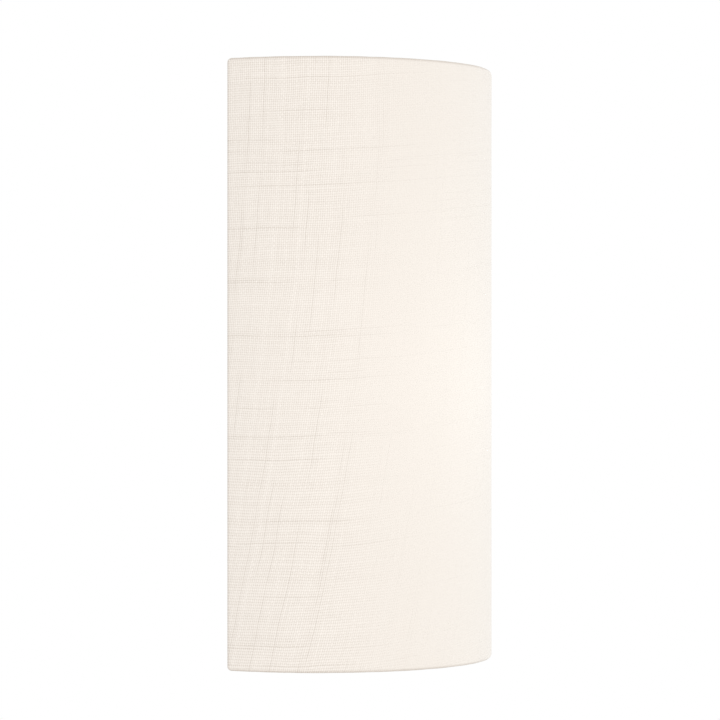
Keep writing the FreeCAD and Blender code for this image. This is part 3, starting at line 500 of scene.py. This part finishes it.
def plated_metal(name, bright, dull, roughness, marks=0.5):
    """Plated or bare metal with cloudy plating and fine handling marks."""
    material, w, shader = new_material(name)
    grain = use_group(w, GRAIN, Scale=700.0, Cloud=90.0)
    scratch = use_group(w, MARKS, Scale=260.0)["Mask"]
    tone = w.math("ADD", 0.45, w.math("MULTIPLY", grain["Tone"], 1.4), clamp=True)
    w.feed(shader.inputs["Base Color"], w.mix(tone, bright, dull))
    shader.inputs["Metallic"].default_value = 1.0
    w.feed(shader.inputs["Roughness"], w.math("ADD", w.math("ADD", roughness, w.math(
        "MULTIPLY", grain["Roughness"], 0.22)), w.math("MULTIPLY", scratch, marks * 0.3), clamp=True))
    w.feed(shader.inputs["Normal"], bump(w, w.math("SUBTRACT", grain["Height"], w.math(
        "MULTIPLY", scratch, marks)), 0.02 * MM, 0.35))
    return material


def moulded_plastic(name, colour, shade, roughness, grain_scale=1100.0, depth=0.03):
    material, w, shader = new_material(name)
    grain = use_group(w, GRAIN, Scale=grain_scale, Cloud=40.0)
    dust = use_group(w, DUST, Amount=0.12)["Mask"]
    tone = w.math("ADD", 0.4, w.math("MULTIPLY", grain["Tone"], 1.2), clamp=True)
    body = w.mix(tone, colour, shade)
    w.feed(shader.inputs["Base Color"], w.mix(dust, body, (0.55, 0.52, 0.48, 1.0)))
    w.feed(shader.inputs["Roughness"], w.math("ADD", roughness, w.math(
        "MULTIPLY", grain["Roughness"], 0.2), clamp=True))
    w.feed(shader.inputs["Normal"], bump(w, grain["Height"], depth * MM, 0.4))
    return material


def opal_material():
    """Satin opal dome of a lamp that is lit: brightest face on, duller at its rim and collar."""
    material, w, shader = new_material("opal_dome")
    place = w.put("TexCoord").outputs["Object"]
    grain = use_group(w, GRAIN, Scale=600.0, Cloud=30.0)
    height = w.split(place)[2]
    rise = w.ramp(height, globe_low.z, globe_low.z + 0.4 * (globe_high.z - globe_low.z), 0.4, 1.0)
    rim = w.put("LayerWeight", {"Blend": 0.35}).outputs["Facing"]
    rise = w.math("MULTIPLY", rise, w.ramp(rim, 0.1, 0.9, 1.0, 0.12))
    w.feed(shader.inputs["Base Color"], w.mix(w.math("ADD", 0.5, grain["Tone"], clamp=True),
                                              (0.80, 0.78, 0.73, 1.0), (0.76, 0.74, 0.69, 1.0)))
    w.feed(shader.inputs["Roughness"], w.math("ADD", 0.36, w.math("MULTIPLY", grain["Roughness"], 0.1)))
    w.feed(shader.inputs["Emission Color"], w.mix(rise, NO_LIGHT, WARM_LIGHT))
    shader.inputs["Emission Strength"].default_value = 0.42
    return material


def circuit_material():
    """Green solder mask with faint tracks."""
    material, w, shader = new_material("circuit_board_mask")
    place = w.put("TexCoord").outputs["Object"]
    tracks = w.put("TexBrick", {"Vector": place, "Scale": 420.0, "Mortar Size": 0.08,
                                "Color1": (1.0, 1.0, 1.0, 1.0), "Color2": (1.0, 1.0, 1.0, 1.0),
                                "Mortar": (0.0, 0.0, 0.0, 1.0)}).outputs["Fac"]
    w.feed(shader.inputs["Base Color"], w.mix(tracks, (0.05, 0.20, 0.10, 1.0), (0.10, 0.32, 0.17, 1.0)))
    shader.inputs["Roughness"].default_value = 0.35
    w.feed(shader.inputs["Normal"], bump(w, tracks, 0.03 * MM, 0.5))
    return material


def earth_sleeve_material():
    """Green insulation with a yellow stripe down the side that faces the room."""
    material, w, shader = new_material("earth_wire_sleeve")
    facing = w.split(w.put("TexCoord").outputs["Normal"])
    stripe = w.ramp(w.math("ADD", w.math("MULTIPLY", facing[1], -1.0), facing[0]), 0.25, 0.35)
    grain = use_group(w, GRAIN, Scale=900.0, Cloud=60.0)
    w.feed(shader.inputs["Base Color"], w.mix(stripe, (0.05, 0.30, 0.07, 1.0), (0.80, 0.62, 0.05, 1.0)))
    w.feed(shader.inputs["Roughness"], w.math("ADD", 0.42, w.math("MULTIPLY", grain["Roughness"], 0.2)))
    return material


MATERIALS = {
    "linen": linen_material(),
    "liner_sheet": liner_material(),
    "frame_wire": coated_steel("white_coated_wire", (0.80, 0.80, 0.78, 1), (0.74, 0.74, 0.72, 1)),
    "plate_paint": coated_steel("white_coated_plate", (0.82, 0.82, 0.81, 1), (0.77, 0.77, 0.76, 1)),
    "nylon": moulded_plastic("nylon_washer", (0.78, 0.76, 0.70, 1), (0.70, 0.68, 0.62, 1), 0.45),
    "nickel": plated_metal("nickel_plate", (0.72, 0.69, 0.64, 1), (0.60, 0.57, 0.52, 1), 0.24),
    "spring_steel": plated_metal("spring_steel", (0.42, 0.42, 0.43, 1), (0.30, 0.29, 0.29, 1), 0.38),
    "zinc": plated_metal("bright_zinc", (0.66, 0.68, 0.71, 1), (0.52, 0.53, 0.54, 1), 0.34),
    "brass": plated_metal("bare_brass", (0.80, 0.60, 0.28, 1), (0.62, 0.44, 0.18, 1), 0.30),
    "tinned": plated_metal("tinned_copper", (0.70, 0.69, 0.66, 1), (0.56, 0.54, 0.50, 1), 0.40),
    "solder": plated_metal("lamp_tip_solder", (0.60, 0.60, 0.60, 1), (0.44, 0.44, 0.44, 1), 0.42),
    "aluminium": plated_metal("board_aluminium", (0.76, 0.77, 0.79, 1), (0.66, 0.67, 0.69, 1), 0.36),
    "holder_plastic": moulded_plastic("holder_white", (0.80, 0.80, 0.77, 1), (0.74, 0.73, 0.70, 1), 0.34),
    "insulator": moulded_plastic("steatite", (0.74, 0.71, 0.64, 1), (0.66, 0.62, 0.55, 1), 0.55, 700.0, 0.06),
    "bulb_plastic": moulded_plastic("lamp_collar_white", (0.84, 0.84, 0.82, 1), (0.78, 0.78, 0.76, 1), 0.40),
    "black_glass": moulded_plastic("black_vitrite", (0.012, 0.012, 0.016, 1), (0.03, 0.03, 0.034, 1), 0.12),
    "phosphor": moulded_plastic("yellow_phosphor", (0.86, 0.66, 0.12, 1), (0.80, 0.58, 0.10, 1), 0.5),
    "component": moulded_plastic("component_sleeve", (0.03, 0.03, 0.04, 1), (0.05, 0.05, 0.06, 1), 0.35),
    "block_plastic": moulded_plastic("block_polyamide", (0.80, 0.78, 0.70, 1), (0.72, 0.69, 0.60, 1), 0.42),
    "grommet_rubber": moulded_plastic("black_rubber", (0.022, 0.022, 0.022, 1), (0.05, 0.05, 0.05, 1), 0.62),
    "live_insulation": moulded_plastic("brown_sleeve", (0.16, 0.055, 0.02, 1), (0.12, 0.04, 0.016, 1), 0.42),
    "neutral_insulation": moulded_plastic("blue_sleeve", (0.02, 0.13, 0.50, 1), (0.02, 0.10, 0.40, 1), 0.42),
    "earth_insulation": earth_sleeve_material(),
    "opal": opal_material(),
    "circuit_board": circuit_material(),
}


def dress_frame():
    """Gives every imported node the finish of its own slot."""
    for entry in frame["record"]["subparts"]:
        mesh = NODES[entry["node"]].data
        mesh.materials.clear()
        mesh.materials.append(MATERIALS[entry["material_slot"]])


# --- the linen cover --------------------------------------------------------------------------
FACE_COLUMNS = 144
ROW_STEP = 3.0 * MM
NOTCH_SPARE = 0.7 * MM
WRAP_STEPS = 10
OVER_WRAP = 0.3
FLAP_LENGTH = 7.0 * MM
FLAP_STEPS = 3
FACE_SWELL = 0.06 * MM
EDGE_SWELL = 0.10 * MM


def wrap_profile():
    """One turned edge as (out, back, length) from the face: round the wire, then the glued flap.

    out is measured from the wire's centre towards the face's outside, back towards the edge.
    """
    stations = []
    for step in range(1, WRAP_STEPS + 1):
        angle = math.pi * step / WRAP_STEPS
        stations.append((HEM_R * math.cos(angle), HEM_R * math.sin(angle), HEM_R * angle))
    angle = math.pi + OVER_WRAP
    out, back = HEM_R * math.cos(angle), HEM_R * math.sin(angle)
    for step in range(FLAP_STEPS + 1):
        run = FLAP_LENGTH * step / FLAP_STEPS
        stations.append((out - math.sin(angle) * run, back + math.cos(angle) * run,
                         HEM_R * angle + run))
    return stations


def cloth_columns():
    """Plan of the cloth: (kind, wire centre, outward direction, place across in metres)."""
    edge = wrap_profile()
    columns = []
    for side in (-1, 1):
        wire = SHADE_AXIS + X * side * FRAME_R
        run = []
        for number, (out, back, length) in enumerate(edge):
            offset = X * side * out + Y * back
            kind = "turned" if number < WRAP_STEPS else "flap"
            run.append((kind, wire, offset, -length))
        columns.append(run)
    face = []
    for step in range(FACE_COLUMNS + 1):
        angle = math.pi + math.pi * step / FACE_COLUMNS
        direction = Vector((math.cos(angle), math.sin(angle), 0))
        face.append(("face", SHADE_AXIS + direction * FRAME_R, direction * HEM_R,
                     SHADE_R * (angle - math.pi)))
    across = SHADE_R * math.pi
    left = list(reversed(columns[0]))
    right = [(kind, wire, offset, across - place) for kind, wire, offset, place in columns[1]]
    return left + face + right


def even_heights(low, high, step):
    count = math.ceil((high - low) / step)
    return [low + (high - low) * number / count for number in range(count + 1)]


def cloth_rows():
    """Heights of the cloth: (kind, share of the wrap outwards, height, place up in metres)."""
    flap_top = RING_Z - (HEM_R * math.sin(OVER_WRAP) + FLAP_LENGTH * math.cos(OVER_WRAP))
    strap_low, strap_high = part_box("upper_strap")
    marks = [0.0, strap_low.z - NOTCH_SPARE, strap_high.z + NOTCH_SPARE, flap_top]
    heights = [0.0]
    kinds = ["middle"]
    for band, (low, high) in zip(("middle", "notch", "middle"), zip(marks[:-1], marks[1:])):
        steps = even_heights(low, high, ROW_STEP)[1:]
        heights += steps
        kinds += [band] * len(steps)
    rows = [(kind, 1.0, up, up) for kind, up in zip(kinds, heights)]
    rows = [(kind, 1.0, -up, -up) for kind, _, up, _ in reversed(rows[1:])] + rows
    upper = [("upper", 1.0, flap_top + (RING_Z - flap_top) * step / 3) for step in (1, 2, 3)]
    edge = []
    for number, (out, back, length) in enumerate(wrap_profile()):
        kind = "crest" if number < WRAP_STEPS // 2 else "inside"
        edge.append((kind, out / HEM_R, RING_Z + back, RING_Z + length))
    top = [(kind, out, up, up) for kind, out, up in upper] + edge
    bottom = [(kind, out, -up, -place) for kind, out, up, place in top]
    return list(reversed(bottom)) + rows + top


def in_notch(low, high):
    """Whether a run of height lies where a strap passes through the side flap."""
    strap_low, strap_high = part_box("upper_strap")
    middle = abs(low + high) / 2
    return strap_low.z - NOTCH_SPARE < middle < strap_high.z + NOTCH_SPARE


def cloth_point(column, row):
    """Place of one cloth vertex, with the small unevenness of hand-wrapped cloth."""
    kind, wire, offset, across = column
    level, out, up, place_up = row
    point = wire + offset * out + Z * up
    if kind == "face" and out > 0.99:
        seed = Vector((across * 38, place_up * 26, 0.3))
        point += offset.normalized() * (FACE_SWELL * (noise.noise(seed) + 1.0))
    if kind == "face" and level in ("crest", "inside", "upper"):
        seed = Vector((across * 160, math.copysign(4.0, place_up), 1.7))
        swell = max(EDGE_SWELL * (noise.noise(seed) + 0.5), 0.0)
        point += (point - wire - Z * math.copysign(RING_Z, up)).normalized() * swell
    return point


def make_linen_cover():
    """One sheet of linen: the half-round face with all four edges turned over the wires."""
    columns = cloth_columns()
    rows = cloth_rows()
    verts = [cloth_point(column, row) for row in rows for column in columns]
    wide = len(columns)
    faces = []
    for j in range(len(rows) - 1):
        for i in range(wide - 1):
            kinds = {columns[i][0], columns[i + 1][0]}
            levels = {rows[j][0], rows[j + 1][0]}
            if "flap" in kinds and levels & {"upper", "crest", "inside"}:
                continue
            if "flap" in kinds and in_notch(rows[j][2], rows[j + 1][2]):
                continue
            if "turned" in kinds and "inside" in levels:
                continue
            corner = j * wide + i
            faces.append((corner, corner + 1, corner + wide + 1, corner + wide))
    cover = new_object("linen_cover", verts, faces)
    layer = cover.data.uv_layers.new(name="cloth")
    for loop in cover.data.loops:
        j, i = divmod(loop.vertex_index, wide)
        layer.data[loop.index].uv = (columns[i][3], rows[j][3])
    take(cover)
    bpy.ops.object.mode_set(mode="EDIT")
    bpy.ops.mesh.select_all(action="SELECT")
    bpy.ops.mesh.delete_loose()
    bpy.ops.mesh.select_all(action="SELECT")
    bpy.ops.mesh.remove_doubles(threshold=0.005 * MM)
    bpy.ops.object.mode_set(mode="OBJECT")
    apply_modifier(cover, "SOLIDIFY", thickness=CLOTH_THICK, offset=-1.0, use_even_offset=True)
    smooth(cover, 50.0)
    finish_piece(cover, MATERIALS["linen"], "shade", ["shade_fabric"])


# --- lamp cap and sleeve with their rounded thread ----------------------------------------------
THREAD_PITCH = 3.629 * MM
THREAD_DEPTH = 0.45 * MM
THREAD_FADE = 1.5 * MM
THREAD_STEPS = 64
THREAD_ROW = 0.45 * MM
THREADED_SHEET = 0.35 * MM


def threaded_tube(name, profile, thread_low, thread_high):
    """Thin sheet tube about the lamp's axis. profile is (radius, height) from bottom to top."""
    verts = []
    for radius, height in profile:
        fade = min(1.0, max(0.0, (height - thread_low) / THREAD_FADE),
                   max(0.0, (thread_high - height) / THREAD_FADE))
        for step in range(THREAD_STEPS):
            angle = 2 * math.pi * step / THREAD_STEPS
            wave = math.cos(2 * math.pi * height / THREAD_PITCH - angle)
            r = radius + THREAD_DEPTH * fade * wave
            verts.append(LAMP_AXIS + Vector((r * math.cos(angle), r * math.sin(angle), height)))
    faces = []
    for j in range(len(profile) - 1):
        for i in range(THREAD_STEPS):
            after = (i + 1) % THREAD_STEPS
            low, high = j * THREAD_STEPS, (j + 1) * THREAD_STEPS
            faces.append((low + i, low + after, high + after, high + i))
    tube = new_object(name, verts, faces)
    apply_modifier(tube, "SOLIDIFY", thickness=THREADED_SHEET, offset=-1.0)
    smooth(tube, 60.0)
    return tube


def make_threads():
    """The lamp's cap and the holder's sleeve, in place of the two plain cylinders."""
    cap_low, cap_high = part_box("bulb_cap")
    radius = cap_high.x - 0.15 * MM
    shoulder = cap_low.z + 1.5 * MM
    foot_r = radius - 1.7 * MM
    profile = [(foot_r, cap_low.z)]
    profile += [(radius, z) for z in even_heights(shoulder, cap_high.z, THREAD_ROW)]
    cap = threaded_tube("lamp_cap_thread", profile, shoulder + 0.5 * MM, cap_high.z - 2 * MM)
    finish_piece(cap, MATERIALS["nickel"], "lamp", ["bulb_cap"])

    sleeve_low, sleeve_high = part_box("screw_sleeve")
    outer = sleeve_high.x
    lip = 0.5 * MM
    profile = [(outer, z) for z in even_heights(sleeve_low.z, sleeve_high.z - lip, THREAD_ROW)]
    profile += [(outer + 0.3 * MM, sleeve_high.z - 0.15 * MM), (outer + 0.55 * MM, sleeve_high.z)]
    sleeve = threaded_tube("holder_screw_sleeve", profile, sleeve_low.z + 9 * MM,
                           sleeve_high.z - 1.5 * MM)
    finish_piece(sleeve, MATERIALS["nickel"], "wall_frame", ["screw_sleeve"])


# --- welds and grip ribs ------------------------------------------------------------------------
STRAP_WELD_R = 0.85 * MM
STRAP_WELD_SHORT = 2 * MM
PILLAR_WELD_R = 0.9 * MM
PILLAR_WELD_STEPS = 12
RIB_COUNT = 36
RIB_R = 0.55 * MM
RIB_START = 0.6 * MM
RIB_LENGTH = 8.6 * MM


def join_all(pieces, name):
    """Joins copies of one shape into a named object with its place in its mesh."""
    deselect()
    for piece in pieces:
        piece.select_set(True)
    bpy.context.view_layer.objects.active = pieces[0]
    bpy.ops.object.join()
    joined = bpy.context.active_object
    joined.name = name
    place_in_mesh(joined)
    return joined


def weld_bead(name, path, radius, seed):
    """A run of weld: overlapping beads along a path of points, melted into one skin."""
    beads = []
    lengths = [(b - a).length for a, b in zip(path[:-1], path[1:])]
    total = sum(lengths)
    count = max(2, round(total / (radius * 0.9)))
    for number in range(count + 1):
        run = total * number / count
        for start, end, length in zip(path[:-1], path[1:], lengths):
            if run <= length + 1e-9:
                place = start.lerp(end, min(1.0, run / length))
                break
            run -= length
        swell = 1.0 + 0.18 * noise.noise(Vector((number * 0.9, seed, 0.0)))
        deselect()
        bpy.ops.mesh.primitive_ico_sphere_add(subdivisions=3, radius=radius * swell, location=place)
        beads.append(bpy.context.active_object)
    weld = join_all(beads, name)
    apply_modifier(weld, "REMESH", mode="VOXEL", voxel_size=radius * 0.16)
    apply_modifier(weld, "SMOOTH", factor=0.5, iterations=3)
    smooth(weld, 80.0)
    return weld


def make_welds():
    """Strap ends on the uprights, and the pillars' feet on the plate."""
    for height, upright_strap in (("upper", "upper_strap"), ("lower", "lower_strap")):
        low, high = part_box(upright_strap)
        for side, name in ((-1, "left"), (1, "right")):
            x = side * (FRAME_R - WIRE_R * 0.75)
            y = SHADE_AXIS.y - WIRE_R * 0.95
            path = [Vector((x, y, low.z + STRAP_WELD_SHORT)), Vector((x, y, high.z - STRAP_WELD_SHORT))]
            bead = weld_bead("weld_%s_%s_strap" % (height, name), path, STRAP_WELD_R, side + low.z)
            finish_piece(bead, MATERIALS["frame_wire"], "shade")
    for height, pillar in (("upper", "upper_pillar"), ("lower", "lower_pillar")):
        low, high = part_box(pillar)
        middle = (low + high) / 2
        radius = (high.x - low.x) / 2 - 0.1 * MM
        ring = []
        for step in range(PILLAR_WELD_STEPS + 1):
            angle = 2 * math.pi * step / PILLAR_WELD_STEPS
            ring.append(Vector((middle.x + radius * math.cos(angle), high.y - 0.3 * MM,
                                middle.z + radius * math.sin(angle))))
        bead = weld_bead("weld_%s_pillar" % height, ring, PILLAR_WELD_R, low.z * 9)
        finish_piece(bead, MATERIALS["plate_paint"], "wall_frame")


def make_grip_ribs():
    """Moulded ribs round the lampholder's lower skirt."""
    base_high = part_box("lampholder_base")[1]
    radius = base_high.x
    middle = base_high.z + RIB_START + RIB_LENGTH / 2
    ribs = []
    for number in range(RIB_COUNT):
        angle = 2 * math.pi * number / RIB_COUNT
        deselect()
        bpy.ops.mesh.primitive_cylinder_add(vertices=12, radius=RIB_R, depth=RIB_LENGTH)
        rib = bpy.context.active_object
        rib.location = LAMP_AXIS + Vector((radius * math.cos(angle), radius * math.sin(angle), middle))
        ribs.append(rib)
    joined = join_all(ribs, "holder_grip_ribs")
    apply_modifier(joined, "BEVEL", width=0.25 * MM, segments=2, limit_method="ANGLE")
    smooth(joined, 40.0)
    finish_piece(joined, MATERIALS["holder_plastic"], "wall_frame")


# --- camera, lights, floor --------------------------------------------------------------------
def make_camera():
    data = bpy.data.cameras.new("photo_view")
    camera = bpy.data.objects.new("photo_view", data)
    bpy.context.scene.collection.objects.link(camera)
    towards = Vector((math.sin(VIEW_AZIMUTH), -math.cos(VIEW_AZIMUTH), 0))
    right = Vector((math.cos(VIEW_AZIMUTH), math.sin(VIEW_AZIMUTH), 0))
    camera.location = SHADE_AXIS + towards * CAMERA_DISTANCE
    aim = SHADE_AXIS + right * AIM_RIGHT
    camera.rotation_euler = (aim - camera.location).to_track_quat("-Z", "Y").to_euler()
    data.lens = LENS_MM
    data.sensor_width = 36.0
    data.shift_y = HORIZON_SHIFT
    data.clip_start = 0.05
    data.clip_end = 50.0
    bpy.context.scene.camera = camera


def soft_light(name, azimuth, power, colour):
    """A square softbox that faces the back plate's middle. azimuth 0 is straight in front of it."""
    data = bpy.data.lights.new(name, "AREA")
    data.size = SOFTBOX_SIZE
    data.energy = power
    data.color = colour
    light = bpy.data.objects.new(name, data)
    bpy.context.scene.collection.objects.link(light)
    around, lift = math.radians(azimuth), math.radians(SOFTBOX_ELEVATION)
    back = Vector((math.sin(around) * math.cos(lift), -math.cos(around) * math.cos(lift),
                   math.sin(lift)))
    light.location = back * SOFTBOX_DISTANCE
    light.rotation_euler = (-back).to_track_quat("-Z", "Y").to_euler()


def lamp_light():
    """Warm light just outside the lamp's dome, which falls on the inside of the shade."""
    data = bpy.data.lights.new("lamp_glow", "POINT")
    data.energy = LAMP_POWER
    data.color = LAMP_COLOUR
    data.shadow_soft_size = globe_high.x + 1 * MM
    light = bpy.data.objects.new("lamp_glow", data)
    bpy.context.scene.collection.objects.link(light)
    light.location = LAMP_AXIS + Z * (globe_high.z - globe_high.x)
    light.visible_camera = False
    light.visible_glossy = False


def floor_material():
    """Pale floor that fades into the white surroundings and doesn't hide the light from below."""
    material, w, shader = new_material("pale_floor_paint")
    place = w.put("TexCoord").outputs["Object"]
    w.feed(shader.inputs["Base Color"], w.mix(w.noise(place, 3.0), (0.93, 0.93, 0.93, 1),
                                              (0.90, 0.90, 0.90, 1)))
    shader.inputs["Roughness"].default_value = 0.9
    x, y, _ = w.split(place)
    distance = w.put("VectorMath", {0: w.join(x, y)}, operation="LENGTH").outputs["Value"]
    far = w.ramp(distance, 0.4 * FLOOR_R, 0.97 * FLOOR_R)
    hidden = w.math("MAXIMUM", far, w.put("NewGeometry").outputs["Backfacing"])
    clear = w.put("BsdfTransparent")
    mixed = w.put("MixShader", {0: hidden, 1: shader.outputs[0], 2: clear.outputs[0]})
    output = next(node for node in w.tree.nodes if node.type == "OUTPUT_MATERIAL")
    w.feed(output.inputs[0], mixed.outputs[0])
    return material


def make_floor():
    deselect()
    bpy.ops.mesh.primitive_circle_add(vertices=96, radius=FLOOR_R, fill_type="NGON",
                                      location=(0, 0, FLOOR_Z))
    floor = bpy.context.active_object
    floor.name = "pale_floor"
    floor.data.materials.append(floor_material())


def make_world():
    world = bpy.data.worlds.new("studio_white")
    bpy.context.scene.world = world
    world.use_nodes = True
    tree = world.node_tree
    tree.nodes.clear()
    w = Wiring(tree)
    path = w.put("LightPath").outputs
    seen = w.math("MAXIMUM", path["Is Camera Ray"],
                  w.math("MAXIMUM", path["Is Glossy Ray"], path["Is Transmission Ray"]))
    strength = w.ramp(seen, 0.0, 1.0, AMBIENT, 1.0)
    background = w.put("Background", {"Color": (1.0, 1.0, 1.0, 1.0), "Strength": strength})
    tree.links.new(background.outputs[0], w.put("OutputWorld").inputs[0])


def make_stage():
    make_camera()
    make_floor()
    make_world()
    soft_light("room_softbox", ROOM_AZIMUTH, ROOM_POWER, ROOM_COLOUR)
    soft_light("window_softbox", WINDOW_AZIMUTH, WINDOW_POWER, WINDOW_COLOUR)
    lamp_light()
    bpy.context.scene.view_settings.view_transform = "Standard"


make_stage()
dress_frame()
make_linen_cover()
make_threads()
make_welds()
make_grip_ribs()
